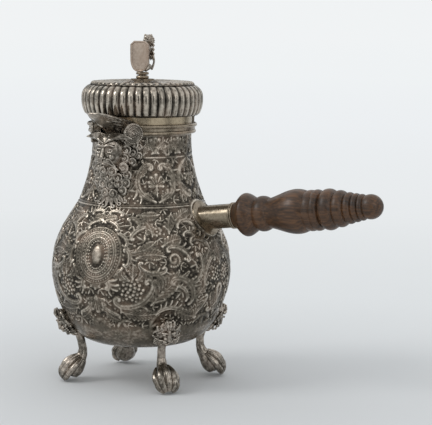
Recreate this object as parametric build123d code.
"""Side-handled silver chocolate pot with a hinged lid, in millimetres.

Frame: +Z is up, the spout points along -Y and the handle along +X. The origin lies on
the pot's upright axis, in the plane that the four paws stand on.
"""
from build123d import *

import os
from math import cos, pi, radians, sin

# ---------------------------------------------------------------- sheet and fits
WALL = 1.0              # silver sheet of the raised body
THIN_WALL = 0.8         # collar, bezel and socket sheet
SOLDER_GAP = 0.05       # seam left between two soldered pieces
RUNNING_GAP = 0.3       # lid bezel in the mouth, and between lid and pot
PIN_GAP = 0.05          # radial play of the hinge pin in its knuckles
MARGIN = 5.0            # how far a cutting form runs past what it cuts

# ---------------------------------------------------------------- raised body
BASE_Z = 22.3           # underside of the pot above the table
BASE_RADIUS = 25.0
BASE_KICK = 1.6         # how far the base disc is dished upwards
BOWL_RADIUS, BOWL_RISE = 37.3, 6.5              # each rise is counted from the height before
LOWER_BELLY_RADIUS, LOWER_BELLY_RISE = 44.3, 11.0
BELLY_RADIUS, BELLY_RISE = 49.9, 22.0
SHOULDER_RADIUS, SHOULDER_RISE = 44.9, 23.0
THROAT_RADIUS, THROAT_RISE = 35.6, 15.5
NECK_FOOT_RADIUS, NECK_FOOT_RISE = 30.0, 15.5
NECK_RADIUS, NECK_RISE = 27.4, 17.0
NECK_TOP_RISE = 11.1
BOWL_Z = BASE_Z + BOWL_RISE
LOWER_BELLY_Z = BOWL_Z + LOWER_BELLY_RISE
BELLY_Z = LOWER_BELLY_Z + BELLY_RISE
SHOULDER_Z = BELLY_Z + SHOULDER_RISE
THROAT_Z = SHOULDER_Z + THROAT_RISE
NECK_FOOT_Z = THROAT_Z + NECK_FOOT_RISE
NECK_Z = NECK_FOOT_Z + NECK_RISE
NECK_TOP_Z = NECK_Z + NECK_TOP_RISE

# ---------------------------------------------------------------- mouth and neck rings
COLLAR_HEIGHT = 3.9     # upright mouth collar above the neck
COLLAR_DEPTH = 8.5      # its sleeve inside the neck
RING_HEIGHT = 2.1
RING_UPPER_DROP, RING_UPPER_STAND = 0.9, 2.9    # below the neck's top, and out from the neck
RING_LOWER_DROP, RING_LOWER_STAND = 4.5, 2.3
BAND_STAND = 1.8
MOUTH_Z = NECK_TOP_Z + COLLAR_HEIGHT
COLLAR_RADIUS = NECK_RADIUS
RING_UPPER_Z, RING_UPPER_RADIUS = NECK_TOP_Z - RING_UPPER_DROP, NECK_RADIUS + RING_UPPER_STAND
RING_LOWER_Z, RING_LOWER_RADIUS = NECK_TOP_Z - RING_LOWER_DROP, NECK_RADIUS + RING_LOWER_STAND
BAND_RADIUS = NECK_RADIUS + BAND_STAND

# ---------------------------------------------------------------- lid
LID_Z = MOUTH_Z + RUNNING_GAP   # lower edge of the gadrooned rim
LID_HEIGHT = 16.6
LID_OVERHANG = 3.8      # crest of the gadroons at the lower edge, out from the collar
LID_SWELL = 2.3         # crest at mid height, out from the lower edge
LID_DRAW_IN = 2.2       # crest at the shoulder, in from the lower edge
LID_BULGE = [0.0, 0.17, 0.35, 0.5, 0.65, 0.82, 1.0]     # shares of its height at which the rim is shaped
LID_LOWER_POWER, LID_UPPER_POWER = 2.0, 3.4     # how roundly the crest turns in below and above
LID_EDGE_RADIUS = COLLAR_RADIUS + LID_OVERHANG
LID_RADIUS = LID_EDGE_RADIUS + LID_SWELL
LID_SHOULDER_RADIUS = LID_EDGE_RADIUS - LID_DRAW_IN
GADROONS = 48
GADROON_DEPTH = 1.0
LID_DOME = 1.0          # rise of the lid's top plate
BEZEL_DEPTH = 4.4       # bezel below the lid's lower edge

# ---------------------------------------------------------------- hinge
HINGE_OFFSET = 3.4      # pin outside the lid's lower edge
HINGE_DROP = 0.9        # pin below the mouth
HINGE_LENGTH = 27.0
HINGE_KNUCKLES = 5
KNUCKLE_RADIUS = 2.0
KNUCKLE_GAP = 0.15
HINGE_PIN_RADIUS = 0.9
BRACKET_WIDTH = 24.0
BRACKET_REACH = 1.2     # bracket past the pin's centre
STEM_DEPTH = 1.4        # what joins a fixed knuckle to the bracket, inwards from the pin's centre
LEAF_THICKNESS = 1.1
LID_LEAF_HEIGHT = 8.5
LID_STRAP_HEIGHT = 4.8  # upper part of the lid's leaf, in one piece across
LID_ARM_HEIGHT = 2.4    # arms above the lid's edge
LID_ARM_DROP = 0.4      # arms below the pin's centre
HINGE_Y = LID_EDGE_RADIUS + HINGE_OFFSET
HINGE_Z = MOUTH_Z - HINGE_DROP

# ---------------------------------------------------------------- spout
BEAK_ROOT = 5.4         # where the beak's sections start, inwards from the neck
BEAK_WALL = 1.2
BEAK_BOW = (0.70, 0.58)         # where its sides bow out: shares of the half width and of the reach
BEAK_SECTIONS = [       # above the neck's top, out from the neck, half width at the root
    (-26.7, 1.6, 6.0),
    (-16.7, 5.1, 9.0),
    (-6.7, 8.6, 11.5),
    (0.3, 17.6, 12.5),
    (10.3, 32.1, 12.5),
]
KEEL_WALL = 1.9         # metal at the keel, where the beak's two sides meet
CHANNEL_DROP = 15.1     # channel's floor below the neck's top
LIP_DROP = 0.2          # lip below the mouth, where it leaves the lid's edge
LIP_START = 6.1         # that place, out from the neck
LIP_RISE_DEG = 11.0
FACE_STAND, FACE_DROP = 5.8, 14.6       # middle, out from the neck and below its top
FACE_HALF = (8.0, 8.3, 10.5)            # sideways, forwards, upright
BEARD_STAND, BEARD_DROP = -1.4, 19.6
BEARD_HALF = (16.0, 8.0, 14.0)
VOLUTE_RADIUS = 5.8
VOLUTE_THICKNESS = 6.0
VOLUTE_SIDE, VOLUTE_STAND, VOLUTE_DROP = 13.0, 4.2, 4.3
VOLUTE_PROUD = 0.5      # its face past that place
VOLUTE_TURN_DEG = 57.0  # how far each volute's face is turned from the spout's direction

# ---------------------------------------------------------------- handle
HANDLE_RISE = 3.7       # where the handle's line meets the pot's axis, above the shoulder
HANDLE_SLOPE_DEG = 7.0
SOCKET_LENGTH = 13.3    # measured along the handle from the shoulder's radius
SOCKET_ROOT_RADIUS = 6.2
SOCKET_END_RADIUS = 6.6
SOCKET_BORE = 5.6
SOCKET_RING_RADIUS = 7.2
SOCKET_RING_LENGTH = 2.3
SADDLE_RADIUS = 9.5
SADDLE_THICKNESS = 0.9
TENON_GAP = 0.1
TENON_LENGTH = 12.5
HANDLE_PIN_RADIUS = 0.8
HANDLE_PIN_INSET = 5.0  # from the socket's end
HANDLE_PIN_TURN_DEG = 24.0
HANDLE_PIN_STAND = 0.2  # how far its filed ends stand out in all
FLANGE_RADIUS = 11.7
FLANGE_LENGTH = 13.0
FLANGE_SHARES = (0.28, 0.50, 0.76)      # along its length,
FLANGE_DROPS = (1.9, 0.0, 1.1)          # how far it lies there below its radius
COLLAR_BEAD_RADIUS = 9.6
COLLAR_BEAD_LENGTH = 7.8
COLLAR_BEAD_GROOVE = 1.2        # before it
VASE_RADIUS = 12.0
VASE_LENGTH = 22.2
VASE_SHARES = (0.32, 0.72)
VASE_DROPS = (1.9, 0.0)
VASE_NECK_DROP = 4.0
BEAD_RADIUS = 10.95
BEAD_LENGTH = 4.3
BEAD_GROOVES = (0.5, 0.5, 1.9)  # before the first bead, between the two, and after the second
CREST_SHARE = 0.48      # where a bead's crest lies along it
BEEHIVE = [             # length and crest radius of each turned ring
    (7.9, 11.05), (5.8, 9.75), (4.0, 8.35), (3.3, 7.6), (3.0, 7.0),
]
BEEHIVE_GROOVE = 0.75   # depth of the groove after each ring
BALL_RADIUS = 6.6
HANDLE_AXIS_Z = SHOULDER_Z + HANDLE_RISE
SOCKET_END = SHOULDER_RADIUS + SOCKET_LENGTH

# ---------------------------------------------------------------- feet
FEET = {                # angle from the spout, and how far the paw is bent outwards
    "front_right": (49.2, 0.3),
    "back_right": (130.4, 1.1),
    "back_left": (223.6, 0.0),
    "front_left": (310.4, -1.4),
}
PAW_REACH = 3.2         # middle, out from the bowl's radius
PAW_HALF = (7.4, 7.0, 6.9)      # outwards, sideways, upright
PAW_LIFT = 0.3          # how much of the paw is filed flat
LEG_STANDS = (-0.7, -3.5, -4.1, -2.7, 0.3)      # the leg's middle, out from the bowl's radius
LEG_SHARES = (1.37, 1.09, 0.81, 0.56, 0.35)     # its height there, as a share of the base's height
LEG_HALF_DEPTHS = (2.6, 2.8, 3.0, 3.7, 5.0)
LEG_HALF_WIDTHS = (3.2, 3.0, 2.9, 3.6, 5.2)
MASK_REACH, MASK_RISE = 5.3, 3.5        # middle, out from and above the bowl's edge
MASK_HALF = (4.8, 7.6, 9.8)     # off the body, sideways, along the bowl
MASK_LEAN_DEG = 40.0

# ---------------------------------------------------------------- finial
PLINTH_DISC_RADIUS = 6.6
PLINTH_DISC_HEIGHT = 0.9
PLINTH_RADIUS = 3.6
PLINTH_HEIGHT = 3.8
PLINTH_CORE_RADIUS = 2.2
PLINTH_RING_HEIGHTS = (1.9, 1.5)        # lower and upper ring, with a groove between
STUD_RADIUS = 1.3
NUT_RADIUS = 3.2
NUT_HEIGHT = 2.2
WASHER_RADIUS = 4.8
WASHER_HEIGHT = 0.6
THREAD_GAP = 0.05
STUD_PAST_NUT = 0.6
SHIELD_WIDTH = 11.7
SHIELD_HEIGHT = 17.0
SHIELD_THICKNESS = 1.3
SHIELD_RIM = 0.8
SHIELD_RECESS = 0.3     # field below its rim
SHIELD_TOP_SHARE = 0.62         # flat top, as a share of the half width
SHIELD_CORNER = (0.94, 0.86)    # clipped corner: shares of the half width and of the height
SHIELD_SIDE = (0.88, 0.28)      # fullest place of the lower sides
SHIELD_Y = -2.4         # back of the shield
LION_HEIGHT = 25.0      # crown of the head above the plinth
LION_HEAD_RADIUS = 3.3
LION_HEAD_X, LION_HEAD_Y = 1.6, 3.4
LION_MUZZLE_HALF = (1.7, 2.0, 1.5)
LION_MUZZLE_DROP = 0.9  # below the head's middle
LION_HAUNCH_RADIUS, LION_HAUNCH_Y, LION_HAUNCH_RISE = 2.9, 2.0, 3.0
LION_CHEST_RADIUS, LION_CHEST_X, LION_CHEST_Y, LION_CHEST_DROP = 3.1, 1.0, 1.9, 3.6
LION_HIP_RADIUS, LION_HIP_SIDE, LION_HIP_Y, LION_HIP_RISE = 1.9, 2.4, 1.6, 2.4
LION_TOE_RADIUS, LION_TOE_SIDE, LION_TOE_Y, LION_TOE_RISE = 1.0, 2.2, -0.4, 1.0
LION_ARM_RADIUS, LION_ARM_SIDE, LION_ARM_Y, LION_ARM_DROP = 1.4, 2.2, 1.8, 5.0
LION_PAW_RADIUS, LION_PAW_SIDE, LION_PAW_Y, LION_PAW_DROP = 1.1, 4.2, -1.0, 4.2


# ================================================================ helpers
def turned(half_section: Sketch, axis: Axis = Axis.Z) -> Part:
    """A full turn of a half section about an axis."""
    return revolve(half_section, axis)


def ring(inner: float, outer: float, low: float, high: float) -> Part:
    """A plain upright ring."""
    return Pos(0, 0, low) * extrude(Circle(outer) - Circle(inner), high - low)


def post(radius: float, low: float, high: float) -> Part:
    """A plain upright post on the axis."""
    return Pos(0, 0, low) * extrude(Circle(radius), high - low)


def half_round_ring(inner: float, outer: float, middle_z: float, height: float) -> Part:
    """A ring with a flat seat inside and a rounded outside."""
    low, high = middle_z - height / 2, middle_z + height / 2
    nose = min(height / 2, outer - inner)
    with BuildSketch(Plane.XZ) as section:
        with BuildLine():
            Polyline((outer - nose, high), (inner, high), (inner, low), (outer - nose, low))
            ThreePointArc((outer - nose, low), (outer, middle_z), (outer - nose, high))
        make_face()
    return turned(section.sketch)


def ellipsoid(half_x: float, half_y: float, half_z: float) -> Part:
    """A ball stretched to three half axes."""
    return scale(Sphere(1.0), by=(half_x, half_y, half_z))


def dome_arc(radius: float, z: float, rise: float) -> Edge:
    """Half the section of a low dome, from its edge at z up to the axis; the dome is part of a ball."""
    ball = (radius ** 2 + rise ** 2) / (2 * rise)
    middle_z = z + rise - ball + (ball ** 2 - radius ** 2 / 4) ** 0.5
    return ThreePointArc((radius, z), (radius / 2, middle_z), (0, z + rise))


def capsule(start: tuple, end: tuple, start_radius: float, end_radius: float) -> Part:
    """A limb: a cone between two balls."""
    a, b = Vector(*start), Vector(*end)
    span = (b - a).length
    frame = Plane(origin=(a + b) / 2, z_dir=(b - a).normalized())
    limb = frame * Cone(start_radius, end_radius, span)
    return limb + Pos(a) * Sphere(start_radius) + Pos(b) * Sphere(end_radius)


def save(shape: Part, node: str) -> None:
    """Writes one node."""
    export_step(shape, f"parts/{node}.step")


# ================================================================ raised body
def body_outline(grow: float = 0.0) -> list:
    """Points on the body's outline from base to neck, moved outwards by grow."""
    stations = [
        (BASE_RADIUS, BASE_Z), (BOWL_RADIUS, BOWL_Z), (LOWER_BELLY_RADIUS, LOWER_BELLY_Z),
        (BELLY_RADIUS, BELLY_Z), (SHOULDER_RADIUS, SHOULDER_Z), (THROAT_RADIUS, THROAT_Z),
        (NECK_FOOT_RADIUS, NECK_FOOT_Z), (NECK_RADIUS, NECK_Z),
    ]
    line = Spline(stations)
    moved = []
    for r, z in stations:
        along = line.tangent_at(line.param_at_point(Vector(r, z)))
        moved.append((r + along.Y * grow, z - along.X * grow))
    return moved


def body_form(grow: float = 0.0, top_z: float = NECK_TOP_Z) -> Part:
    """The body as a solid form, its surface moved outwards by grow."""
    points = body_outline(grow)
    foot_z, neck = points[0][1], NECK_RADIUS + grow
    with BuildSketch(Plane.XZ) as section:
        with BuildLine():
            Spline(points)
            Polyline(points[-1], (neck, NECK_Z + WALL), (neck, top_z), (0, top_z), (0, foot_z), points[0])
        make_face()
    return turned(section.sketch)


def make_body_shell() -> Part:
    """The raised body: an even wall, open at the mouth and over the base disc."""
    outer, inner = body_form(), body_form(-WALL, NECK_TOP_Z + MARGIN)
    well = Pos(0, 0, BASE_Z) * Cylinder(BASE_RADIUS, 2 * WALL)
    return outer - inner - well - spout_channel()


def make_base_disc() -> Part:
    """The dished disc soldered into the base."""
    rim, low, high = BASE_RADIUS - SOLDER_GAP, BASE_Z, BASE_Z + WALL
    with BuildSketch(Plane.XZ) as section:
        with BuildLine():
            dome_arc(rim, low, BASE_KICK)
            dome_arc(rim, high, BASE_KICK)
            Line((0, low + BASE_KICK), (0, high + BASE_KICK))
            Line((rim, low), (rim, high))
        make_face()
    return turned(section.sketch)


# ================================================================ mouth and rings
def neck_bore() -> float:
    """Radius inside the neck."""
    return NECK_RADIUS - WALL


def mouth_bore() -> float:
    """Radius inside the mouth collar."""
    return neck_bore() - SOLDER_GAP - THIN_WALL


def make_mouth_collar() -> Part:
    """A sleeve inside the neck with a thicker band standing on the neck's edge."""
    sleeve = ring(mouth_bore(), neck_bore() - SOLDER_GAP, NECK_TOP_Z - COLLAR_DEPTH, MOUTH_Z)
    band = ring(mouth_bore(), COLLAR_RADIUS, NECK_TOP_Z + SOLDER_GAP, MOUTH_Z)
    return sleeve + band - spout_channel()


def neck_ring_forms(grow: float = 0.0) -> dict:
    """Two half-round rings with a plain band between, their outsides moved outwards by grow."""
    seat = NECK_RADIUS + SOLDER_GAP
    low_edge = RING_LOWER_Z + RING_HEIGHT / 2 + SOLDER_GAP
    high_edge = RING_UPPER_Z - RING_HEIGHT / 2 - SOLDER_GAP
    height = RING_HEIGHT + 2 * grow
    return {
        "neck_ring_lower": half_round_ring(seat, RING_LOWER_RADIUS + grow, RING_LOWER_Z, height),
        "neck_ring_upper": half_round_ring(seat, RING_UPPER_RADIUS + grow, RING_UPPER_Z, height),
        "neck_band": ring(seat, BAND_RADIUS + grow, low_edge, high_edge),
    }


def make_neck_rings() -> dict:
    """The rings and the band, each open at the front where the spout stands."""
    keep_out = beak_form(SOLDER_GAP)
    for side in (-1, 1):
        keep_out += volute_form(side, SOLDER_GAP)
    return {node: solid_of(shape - keep_out) for node, shape in neck_ring_forms().items()}


# ================================================================ spout
def beak_section(z: float, reach: float, half_width: float) -> Sketch:
    """A pointed arch, from inside the neck to the beak's keel."""
    root = NECK_RADIUS - BEAK_ROOT
    bow_x, bow_y = BEAK_BOW[0] * half_width, root + BEAK_BOW[1] * (reach - root)
    with BuildSketch(Plane.XY.offset(z)) as section:
        with BuildLine():
            ThreePointArc((half_width, -root), (bow_x, -bow_y), (0, -reach))
            ThreePointArc((0, -reach), (-bow_x, -bow_y), (-half_width, -root))
            Line((-half_width, -root), (half_width, -root))
        make_face()
    return section.sketch


def above_lip() -> Part:
    """Everything above the lip's slanting edge."""
    size = 8 * NECK_RADIUS
    block = Pos(0, 0, size / 2) * Box(size, size, size)
    return Pos(0, -NECK_RADIUS - LIP_START, MOUTH_Z - LIP_DROP) * Rot(-LIP_RISE_DEG, 0, 0) * block


def beak_form(grow: float = 0.0) -> Part:
    """The beak's outer form, before it is fitted to the neck and hollowed."""
    return loft([
        beak_section(NECK_TOP_Z + rise, NECK_RADIUS + stand + grow, half_width + grow)
        for rise, stand, half_width in BEAK_SECTIONS
    ])


def spout_channel() -> Part:
    """The way that the drink takes: through the neck's wall and along the beak."""
    inner = loft([
        beak_section(NECK_TOP_Z + rise, NECK_RADIUS + stand - KEEL_WALL, half_width - BEAK_WALL)
        for rise, stand, half_width in BEAK_SECTIONS
    ])
    size = 8 * NECK_RADIUS
    below_floor = Pos(0, 0, NECK_TOP_Z - CHANNEL_DROP - size / 2) * Box(size, size, size)
    return inner - below_floor


def make_spout_beak() -> Part:
    """The hollow beak, butted against the neck and collar."""
    neck = body_form(SOLDER_GAP) + Pos(0, 0, NECK_TOP_Z) * Cylinder(
        COLLAR_RADIUS + SOLDER_GAP, 4 * MARGIN)
    return beak_form() - spout_channel() - neck - above_lip()


def make_spout_mask() -> Part:
    """The bearded mask under the beak, fitted to beak and neck."""
    face = Pos(0, -NECK_RADIUS - FACE_STAND, NECK_TOP_Z - FACE_DROP) * ellipsoid(*FACE_HALF)
    beard = Pos(0, -NECK_RADIUS - BEARD_STAND, NECK_TOP_Z - BEARD_DROP) * ellipsoid(*BEARD_HALF)
    mask = face + beard - beak_form(SOLDER_GAP) - body_form(SOLDER_GAP)
    for side in (-1, 1):
        mask -= volute_form(side, SOLDER_GAP)
    rings_z = RING_LOWER_Z - RING_HEIGHT / 2 - SOLDER_GAP
    mask -= post(RING_UPPER_RADIUS + SOLDER_GAP, rings_z, rings_z + 4 * MARGIN)
    return solid_of(mask)


def solid_of(shape: Part) -> Part:
    """The largest solid of a shape, without slivers that a cut may leave."""
    return Part() + max(shape.solids(), key=lambda s: s.volume)


def volute_form(side: int, grow: float = 0.0) -> Part:
    """A thick button beside the beak, turned half way to the side."""
    turn = radians(VOLUTE_TURN_DEG)
    middle = (side * VOLUTE_SIDE, -NECK_RADIUS - VOLUTE_STAND, NECK_TOP_Z - VOLUTE_DROP)
    face = Plane(origin=middle, z_dir=(side * sin(turn), -cos(turn), 0))
    button = extrude(Circle(VOLUTE_RADIUS + grow), -VOLUTE_THICKNESS - 2 * grow)
    return face * Pos(0, 0, VOLUTE_PROUD + grow) * button


def make_volute(side: int) -> Part:
    """One volute, fitted to beak and neck."""
    return solid_of(volute_form(side) - beak_form(SOLDER_GAP) - body_form(SOLDER_GAP))


# ================================================================ handle
def along_handle(shape: Part) -> Part:
    """Lays a piece turned about X into the handle's sloping line."""
    return Pos(0, 0, HANDLE_AXIS_Z) * Rot(0, -HANDLE_SLOPE_DEG, 0) * shape


def rod(radius: float, start: float, end: float) -> Part:
    """A round rod along X."""
    return Pos((start + end) / 2, 0, 0) * Rot(0, 90, 0) * Cylinder(radius, end - start)


def make_handle_saddle() -> Part:
    """A round plate that follows the body under the socket."""
    plate = body_form(SADDLE_THICKNESS) - body_form(SOLDER_GAP)
    disc = along_handle(rod(SADDLE_RADIUS, 0, SOCKET_END))
    return solid_of(plate & disc)


def make_handle_socket() -> Part:
    """The slightly flared tube that takes the wooden handle's tenon."""
    cone = Cone(SOCKET_ROOT_RADIUS, SOCKET_END_RADIUS, SOCKET_END)
    tube = Pos(SOCKET_END / 2, 0, 0) * Rot(0, 90, 0) * cone
    tube -= rod(SOCKET_BORE, -MARGIN, SOCKET_END + MARGIN)
    tube = along_handle(tube) - body_form(SADDLE_THICKNESS + SOLDER_GAP) - handle_pin_hole()
    return solid_of(tube)


def make_socket_ring() -> Part:
    """A double bead round the socket's end."""
    start, end = SOCKET_END - SOCKET_RING_LENGTH / 2, SOCKET_END + SOCKET_RING_LENGTH / 2
    quarter, inner = SOCKET_RING_LENGTH / 4, SOCKET_END_RADIUS + SOLDER_GAP
    groove = (SOCKET_END, inner + SOLDER_GAP)
    with BuildSketch(Plane.XY) as section:
        with BuildLine():
            ThreePointArc((start, inner), (start + quarter, SOCKET_RING_RADIUS), groove)
            ThreePointArc(groove, (end - quarter, SOCKET_RING_RADIUS), (end, inner))
            Line((end, inner), (start, inner))
        make_face()
    return along_handle(turned(section.sketch, Axis.X))


def handle_pin_frame() -> Location:
    """Where the cross pin goes through socket and tenon."""
    return Pos(SOCKET_END - HANDLE_PIN_INSET, 0, 0) * Rot(90 + HANDLE_PIN_TURN_DEG, 0, 0)


def make_handle_pin() -> Part:
    """The cross pin that holds the wood in the socket."""
    length = 2 * SOCKET_END_RADIUS + HANDLE_PIN_STAND
    return along_handle(handle_pin_frame() * Cylinder(HANDLE_PIN_RADIUS, length))


def handle_pin_hole() -> Part:
    """The pin's hole."""
    return along_handle(handle_pin_frame() * Cylinder(HANDLE_PIN_RADIUS + SOLDER_GAP, 3 * SOCKET_END_RADIUS))


def swelling(start: Vector, length: float, radius: float, shares: tuple, drops: tuple, end_r: float) -> Edge:
    """A long turned swelling, through its radius less a drop at each share of its length."""
    x = start.X
    through = [(x + share * length, radius - drop) for share, drop in zip(shares, drops)]
    return Spline([start, *through, (x + length, end_r)])


def bead(start: Vector, length: float, crest: float, end_r: float, crest_share: float) -> Edge:
    """A turned bead, as one arc over its crest."""
    x = start.X
    return ThreePointArc(start, (x + crest_share * length, crest), (x + length, end_r))


def grip_outline() -> list:
    """Edges of the turned handle outside its socket, from the socket's end to the ball."""
    start = Vector(SOCKET_END + SOCKET_RING_LENGTH / 2 + SOLDER_GAP, SOCKET_END_RADIUS + SOLDER_GAP)
    valley = COLLAR_BEAD_RADIUS - COLLAR_BEAD_GROOVE
    neck = VASE_RADIUS - VASE_NECK_DROP
    feet = [BEAD_RADIUS - groove for groove in BEAD_GROOVES]
    edges = [swelling(start, FLANGE_LENGTH, FLANGE_RADIUS, FLANGE_SHARES, FLANGE_DROPS, valley)]
    edges.append(bead(edges[-1] @ 1, COLLAR_BEAD_LENGTH, COLLAR_BEAD_RADIUS, neck, CREST_SHARE))
    edges.append(swelling(edges[-1] @ 1, VASE_LENGTH, VASE_RADIUS, VASE_SHARES, VASE_DROPS, feet[0]))
    for foot in feet[1:]:
        edges.append(bead(edges[-1] @ 1, BEAD_LENGTH, BEAD_RADIUS, foot, CREST_SHARE))
    crests = [crest for _, crest in BEEHIVE] + [BALL_RADIUS]
    for number, (length, crest) in enumerate(BEEHIVE):
        foot = min(crest, crests[number + 1]) - BEEHIVE_GROOVE
        edges.append(bead(edges[-1] @ 1, length, crest, foot, 0.5))
    end = edges[-1] @ 1
    ball_x = end.X + (BALL_RADIUS ** 2 - end.Y ** 2) ** 0.5
    edges.append(ThreePointArc(end, (ball_x, BALL_RADIUS), (ball_x + BALL_RADIUS, 0)))
    return edges


def make_handle_grip() -> Part:
    """The turned wooden handle and its tenon."""
    edges = grip_outline()
    start, end = edges[0] @ 0, edges[-1] @ 1
    with BuildSketch(Plane.XY) as section:
        with BuildLine():
            for edge in edges:
                add(edge)
            Line((end.X, 0), (start.X, 0))
            Line((start.X, 0), (start.X, start.Y))
        make_face()
    grip = turned(section.sketch, Axis.X)
    grip += rod(SOCKET_BORE - TENON_GAP, SOCKET_END - TENON_LENGTH, start.X + MARGIN)
    return along_handle(grip) - handle_pin_hole()


# ================================================================ feet
def foot_place(angle_deg: float) -> Location:
    """Turns a foot made along +X to its place; angles run from the spout towards the handle."""
    return Rot(0, 0, angle_deg - 90)


def leg_form(bend: float, grow: float = 0.0) -> Part:
    """A slender leg that sweeps out into its paw, which is bent outwards by bend."""
    middles = []
    for stand, share in zip(LEG_STANDS, LEG_SHARES):
        sway = bend * (1 - share / LEG_SHARES[0])
        middles.append((BOWL_RADIUS + stand + sway, share * BASE_Z))
    sections = []
    for number, (depth, width) in enumerate(zip(LEG_HALF_DEPTHS, LEG_HALF_WIDTHS)):
        before, after = middles[max(number - 1, 0)], middles[min(number + 1, len(middles) - 1)]
        run = (after[0] - before[0], 0, after[1] - before[1])
        lie = Plane(origin=(middles[number][0], 0, middles[number][1]), x_dir=(0, 1, 0), z_dir=run)
        sections.append(lie * Ellipse(width + grow, depth + grow))
    return loft(sections)


def make_leg(bend: float) -> Part:
    """One cast leg with its paw, flat where it stands and cut to the bowl above."""
    reach = BOWL_RADIUS + PAW_REACH + bend
    paw = Pos(reach, 0, PAW_HALF[2] - PAW_LIFT) * ellipsoid(*PAW_HALF)
    floor = Pos(reach, 0, -MARGIN) * Box(8 * MARGIN, 8 * MARGIN, 2 * MARGIN)
    return solid_of(leg_form(bend) + paw - floor - body_form(SOLDER_GAP))


def make_foot_mask(bend: float) -> Part:
    """The lion mask's block: hugs the bowl above the leg."""
    middle = Pos(BOWL_RADIUS + MASK_REACH, 0, BOWL_Z + MASK_RISE)
    lump = middle * Rot(0, MASK_LEAN_DEG, 0) * ellipsoid(*MASK_HALF)
    return solid_of(lump - body_form(SOLDER_GAP) - leg_form(bend, SOLDER_GAP))


# ================================================================ lid
def lid_crest(share: float) -> float:
    """Radius of the gadroons' crests at a share of the rim's height."""
    if share <= 0.5:
        return LID_RADIUS - LID_SWELL * (1 - 2 * share) ** LID_LOWER_POWER
    return LID_RADIUS - (LID_SWELL + LID_DRAW_IN) * (2 * share - 1) ** LID_UPPER_POWER


def gadroon_section(z: float, crest: float, depth: float) -> Sketch:
    """A scalloped outline: one arc for each gadroon."""
    step = 2 * pi / GADROONS
    valley = crest - depth

    def at(radius: float, angle: float) -> tuple:
        return radius * cos(angle), radius * sin(angle)

    with BuildSketch(Plane.XY.offset(z)) as section:
        with BuildLine():
            for number in range(GADROONS):
                start = number * step
                ThreePointArc(at(valley, start), at(crest, start + step / 2), at(valley, start + step))
        make_face()
    return section.sketch


def lid_top_z() -> float:
    """Height of the lid's shoulder, where the top plate starts."""
    return LID_Z + LID_HEIGHT


def make_lid_rim() -> Part:
    """The gadrooned rim: scalloped outside, smooth inside."""
    outer = loft([
        gadroon_section(LID_Z + share * LID_HEIGHT, lid_crest(share), GADROON_DEPTH)
        for share in LID_BULGE
    ])
    inset = GADROON_DEPTH + THIN_WALL
    seat, high = bezel_radius() + SOLDER_GAP, lid_top_z()
    hollow = [(lid_crest(share) - inset, LID_Z + share * (LID_HEIGHT - THIN_WALL)) for share in LID_BULGE[1:]]
    with BuildSketch(Plane.XZ) as section:
        with BuildLine():
            Spline(hollow)
            Polyline(hollow[-1], (hollow[-1][0], high), (0, high), (0, LID_Z), (seat, LID_Z),
                     (seat, LID_Z + THIN_WALL), hollow[0])
        make_face()
    return solid_of(outer - turned(section.sketch))


def top_plate_radius() -> float:
    """Edge of the top plate, inside the gadroons' shoulder."""
    return LID_SHOULDER_RADIUS - GADROON_DEPTH


def make_lid_top() -> Part:
    """The domed plate on the rim, with the hole for the finial's stud."""
    low, high = lid_top_z() + SOLDER_GAP, lid_top_z() + SOLDER_GAP + WALL
    radius = top_plate_radius()
    with BuildSketch(Plane.XZ) as section:
        with BuildLine():
            dome_arc(radius, low, LID_DOME)
            dome_arc(radius, high, LID_DOME)
            Line((0, low + LID_DOME), (0, high + LID_DOME))
            Line((radius, low), (radius, high))
        make_face()
    hole = Pos(0, 0, high) * Cylinder(STUD_RADIUS + THREAD_GAP, 6 * MARGIN)
    return turned(section.sketch) - hole


def bezel_radius() -> float:
    """Outside of the lid's bezel, which runs in the mouth collar."""
    return mouth_bore() - RUNNING_GAP


def make_lid_bezel() -> Part:
    """The sleeve that keeps the lid centred in the mouth."""
    return ring(bezel_radius() - THIN_WALL, bezel_radius(), LID_Z - BEZEL_DEPTH, LID_Z + THIN_WALL)


# ================================================================ hinge
def knuckle_pitch() -> float:
    """Length of one knuckle with its gap."""
    return HINGE_LENGTH / HINGE_KNUCKLES


def knuckle_middle(number: int) -> float:
    """Where one knuckle's middle lies, counted from -X."""
    return (number + 0.5) * knuckle_pitch() - HINGE_LENGTH / 2


def on_pin(shape: Part, middle: float = 0.0) -> Part:
    """Lays an upright round piece along the hinge pin."""
    return Pos(middle, HINGE_Y, HINGE_Z) * Rot(0, 90, 0) * shape


def knuckle(number: int) -> Part:
    """One knuckle of the barrel."""
    return on_pin(Cylinder(KNUCKLE_RADIUS, knuckle_pitch() - KNUCKLE_GAP), knuckle_middle(number))


def knuckle_block(number: int, low: float, high: float, near: float, far: float) -> Part:
    """A block over one knuckle's length, between two heights and two distances along Y."""
    box = Box(knuckle_pitch() - KNUCKLE_GAP, far - near, high - low)
    return Pos(knuckle_middle(number), (near + far) / 2, (low + high) / 2) * box


def hinge_bore() -> Part:
    """The pin's hole through every knuckle."""
    return on_pin(Cylinder(HINGE_PIN_RADIUS + PIN_GAP, HINGE_LENGTH + 2 * MARGIN))


def bracket_block() -> Part:
    """The bracket's block from the neck to the pin, chamfered below."""
    low, high = RING_LOWER_Z - RING_HEIGHT / 2, HINGE_Z - KNUCKLE_RADIUS
    near, far = NECK_RADIUS - WALL, HINGE_Y + BRACKET_REACH
    block = Pos(0, (near + far) / 2, (low + high) / 2) * Box(BRACKET_WIDTH, far - near, high - low)
    cut = Box(2 * BRACKET_WIDTH, far - near, far - near)
    return block - Pos(0, far, low) * Rot(45, 0, 0) * cut


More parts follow.
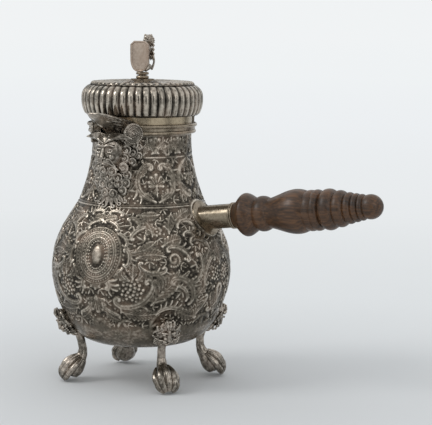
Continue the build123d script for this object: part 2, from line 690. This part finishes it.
def make_hinge_body_leaf() -> Part:
    """The fixed leaf: every other knuckle, on a bracket soldered to the neck and its rings."""
    leaf = bracket_block()
    for number in range(0, HINGE_KNUCKLES, 2):
        stem = (HINGE_Z - 2 * KNUCKLE_RADIUS, HINGE_Z, HINGE_Y - STEM_DEPTH, HINGE_Y + BRACKET_REACH)
        leaf += knuckle(number) + knuckle_block(number, *stem)
    for number in range(1, HINGE_KNUCKLES, 2):
        sweep = Cylinder(KNUCKLE_RADIUS + RUNNING_GAP, knuckle_pitch() + KNUCKLE_GAP)
        leaf -= on_pin(sweep, knuckle_middle(number))
    leaf -= body_form(SOLDER_GAP) + post(COLLAR_RADIUS + SOLDER_GAP, NECK_TOP_Z, MOUTH_Z)
    for shape in neck_ring_forms(SOLDER_GAP).values():
        leaf -= shape
    return solid_of(leaf - hinge_bore())


def lid_form(grow: float) -> Part:
    """The rim's smooth envelope, moved outwards by grow."""
    with BuildSketch(Plane.XZ) as section:
        with BuildLine():
            Spline([(lid_crest(share) + grow, LID_Z + share * LID_HEIGHT) for share in LID_BULGE])
            Line((lid_crest(1.0) + grow, lid_top_z()), (0, lid_top_z()))
            Line((0, lid_top_z()), (0, LID_Z))
            Line((0, LID_Z), (lid_crest(0.0) + grow, LID_Z))
        make_face()
    return turned(section.sketch)


def make_hinge_lid_leaf() -> Part:
    """The moving leaf: the other knuckles, on a curved plate soldered to the rim."""
    plate = lid_form(LEAF_THICKNESS + SOLDER_GAP) - lid_form(SOLDER_GAP)
    top, near, far = LID_Z + LID_LEAF_HEIGHT, LID_EDGE_RADIUS - LEAF_THICKNESS, HINGE_Y + KNUCKLE_RADIUS
    leaf = Part()
    for number in range(1, HINGE_KNUCKLES, 2):
        tongue = plate & knuckle_block(number, LID_Z, top, near, far)
        arm_low, arm_high = HINGE_Z - LID_ARM_DROP, LID_Z + LID_ARM_HEIGHT
        arm = knuckle_block(number, arm_low, arm_high, near, HINGE_Y + LID_ARM_DROP)
        leaf += tongue + solid_of(arm - lid_form(SOLDER_GAP)) + knuckle(number)
    width = 2 * knuckle_middle(HINGE_KNUCKLES - 2) + knuckle_pitch() - KNUCKLE_GAP
    strap = Box(width, far - near, LID_STRAP_HEIGHT)
    leaf += plate & (Pos(0, (near + far) / 2, top - LID_STRAP_HEIGHT / 2) * strap)
    return solid_of(leaf - hinge_bore())


def make_hinge_pin() -> Part:
    """The pin through all five knuckles."""
    return on_pin(Cylinder(HINGE_PIN_RADIUS, HINGE_LENGTH + 2 * KNUCKLE_GAP))


# ================================================================ finial
def plinth_z() -> float:
    """Where the plinth's disc stands on the lid."""
    return lid_top_z() + SOLDER_GAP + WALL + LID_DOME


def shield_z() -> float:
    """Lowest point of the shield."""
    return plinth_z() + PLINTH_DISC_HEIGHT + PLINTH_HEIGHT + SOLDER_GAP


def make_plinth() -> Part:
    """The turned plinth with its stud through the lid."""
    disc_top = plinth_z() + PLINTH_DISC_HEIGHT
    top = disc_top + PLINTH_HEIGHT
    core, (lower, upper) = PLINTH_CORE_RADIUS, PLINTH_RING_HEIGHTS
    plinth = post(PLINTH_DISC_RADIUS, plinth_z() - LID_DOME, disc_top) - lid_plate_form()
    plinth += post(core, disc_top, top)
    plinth += half_round_ring(core, PLINTH_RADIUS, disc_top + lower / 2, lower)
    plinth += half_round_ring(core, PLINTH_RADIUS, top - upper / 2, upper)
    stud_end = washer_top_z() - WASHER_HEIGHT - SOLDER_GAP - NUT_HEIGHT - STUD_PAST_NUT
    return plinth + post(STUD_RADIUS, stud_end, disc_top)


def lid_plate_form() -> Part:
    """All that lies under the top plate's upper face."""
    high = lid_top_z() + SOLDER_GAP + WALL + SOLDER_GAP
    radius = top_plate_radius()
    with BuildSketch(Plane.XZ) as section:
        with BuildLine():
            dome_arc(radius, high, LID_DOME)
            Line((0, high + LID_DOME), (0, high - 2 * MARGIN))
            Line((0, high - 2 * MARGIN), (radius, high - 2 * MARGIN))
            Line((radius, high - 2 * MARGIN), (radius, high))
        make_face()
    return turned(section.sketch)


def washer_top_z() -> float:
    """Where the washer's edge bears under the domed top plate."""
    dome_fall = LID_DOME * (WASHER_RADIUS / top_plate_radius()) ** 2
    return lid_top_z() + LID_DOME - dome_fall


def make_washer() -> Part:
    """The washer under the lid."""
    top = washer_top_z()
    return ring(STUD_RADIUS + THREAD_GAP, WASHER_RADIUS, top - WASHER_HEIGHT, top)


def make_nut() -> Part:
    """The square nut that holds the finial."""
    top = washer_top_z() - WASHER_HEIGHT - SOLDER_GAP
    block = extrude(RegularPolygon(NUT_RADIUS, 4) - Circle(STUD_RADIUS + THREAD_GAP), NUT_HEIGHT)
    return Pos(0, 0, top - NUT_HEIGHT) * block


def shield_outline() -> Sketch:
    """The shield: clipped top corners, full sides and a rounded point."""
    half, high = SHIELD_WIDTH / 2, SHIELD_HEIGHT
    top = SHIELD_TOP_SHARE * half
    corner_x, corner_z = SHIELD_CORNER[0] * half, SHIELD_CORNER[1] * high
    side_x, side_z = SHIELD_SIDE[0] * half, SHIELD_SIDE[1] * high
    with BuildSketch(Plane.XZ) as section:
        with BuildLine():
            Polyline((-corner_x, corner_z), (-top, high), (top, high), (corner_x, corner_z))
            ThreePointArc((corner_x, corner_z), (side_x, side_z), (0, 0))
            ThreePointArc((0, 0), (-side_x, side_z), (-corner_x, corner_z))
        make_face()
    return section.sketch


def shield_form(grow: float = 0.0) -> Part:
    """The shield's block in its place."""
    block = extrude(shield_outline(), SHIELD_THICKNESS + 2 * grow)
    return Pos(0, SHIELD_Y + grow, shield_z()) * block


def make_shield() -> Part:
    """The blank shield with a raised edge."""
    inner = extrude(offset(shield_outline(), -SHIELD_RIM), SHIELD_THICKNESS)
    recess = Pos(0, SHIELD_Y - SHIELD_THICKNESS + SHIELD_RECESS, shield_z()) * inner
    return shield_form() - recess


def make_lion() -> Part:
    """A seated lion behind the shield, as simple rounded forms."""
    seat = shield_z()
    head_z = plinth_z() + PLINTH_DISC_HEIGHT + LION_HEIGHT - LION_HEAD_RADIUS
    haunch = (0, LION_HAUNCH_Y, seat + LION_HAUNCH_RISE)
    chest = (LION_CHEST_X, LION_CHEST_Y, head_z - LION_CHEST_DROP)
    lion = capsule(haunch, chest, LION_HAUNCH_RADIUS, LION_CHEST_RADIUS)
    lion += Pos(LION_HEAD_X, LION_HEAD_Y, head_z) * Sphere(LION_HEAD_RADIUS)
    muzzle_y, muzzle_z = LION_HEAD_Y - LION_HEAD_RADIUS, head_z - LION_MUZZLE_DROP
    lion += Pos(LION_HEAD_X, muzzle_y, muzzle_z) * ellipsoid(*LION_MUZZLE_HALF)
    for side in (-1, 1):
        hip = (side * LION_HIP_SIDE, LION_HIP_Y, seat + LION_HIP_RISE)
        toe = (side * LION_TOE_SIDE, LION_TOE_Y, seat + LION_TOE_RISE)
        lion += capsule(hip, toe, LION_HIP_RADIUS, LION_TOE_RADIUS)
        shoulder = (side * LION_ARM_SIDE, LION_ARM_Y, head_z - LION_ARM_DROP)
        hand = (side * LION_PAW_SIDE, LION_PAW_Y, head_z - LION_PAW_DROP)
        lion += capsule(shoulder, hand, LION_ARM_RADIUS, LION_PAW_RADIUS)
    below = Pos(0, 0, seat - 2 * MARGIN) * Box(8 * MARGIN, 8 * MARGIN, 4 * MARGIN)
    return solid_of(lion - below - shield_form(SOLDER_GAP))


# ================================================================ the whole pot
def main() -> None:
    """Writes every node."""
    os.makedirs("parts", exist_ok=True)
    nodes = {
        "body_shell": make_body_shell(),
        "base_disc": make_base_disc(),
        "mouth_collar": make_mouth_collar(),
        **make_neck_rings(),
        "spout_beak": make_spout_beak(),
        "spout_mask": make_spout_mask(),
        "spout_volute_left": make_volute(-1),
        "spout_volute_right": make_volute(1),
        "handle_saddle": make_handle_saddle(),
        "handle_socket": make_handle_socket(),
        "socket_ring": make_socket_ring(),
        "handle_grip": make_handle_grip(),
        "handle_pin": make_handle_pin(),
        "lid_rim": make_lid_rim(),
        "lid_top": make_lid_top(),
        "lid_bezel": make_lid_bezel(),
        "hinge_body_leaf": make_hinge_body_leaf(),
        "hinge_lid_leaf": make_hinge_lid_leaf(),
        "hinge_pin": make_hinge_pin(),
        "finial_plinth": make_plinth(),
        "finial_lion": make_lion(),
        "finial_shield": make_shield(),
        "finial_washer": make_washer(),
        "finial_nut": make_nut(),
    }
    for name, (angle, bend) in FEET.items():
        nodes[f"foot_{name}"] = foot_place(angle) * make_leg(bend)
        nodes[f"foot_mask_{name}"] = foot_place(angle) * make_foot_mask(bend)
    for node, shape in nodes.items():
        save(shape, node)


main()
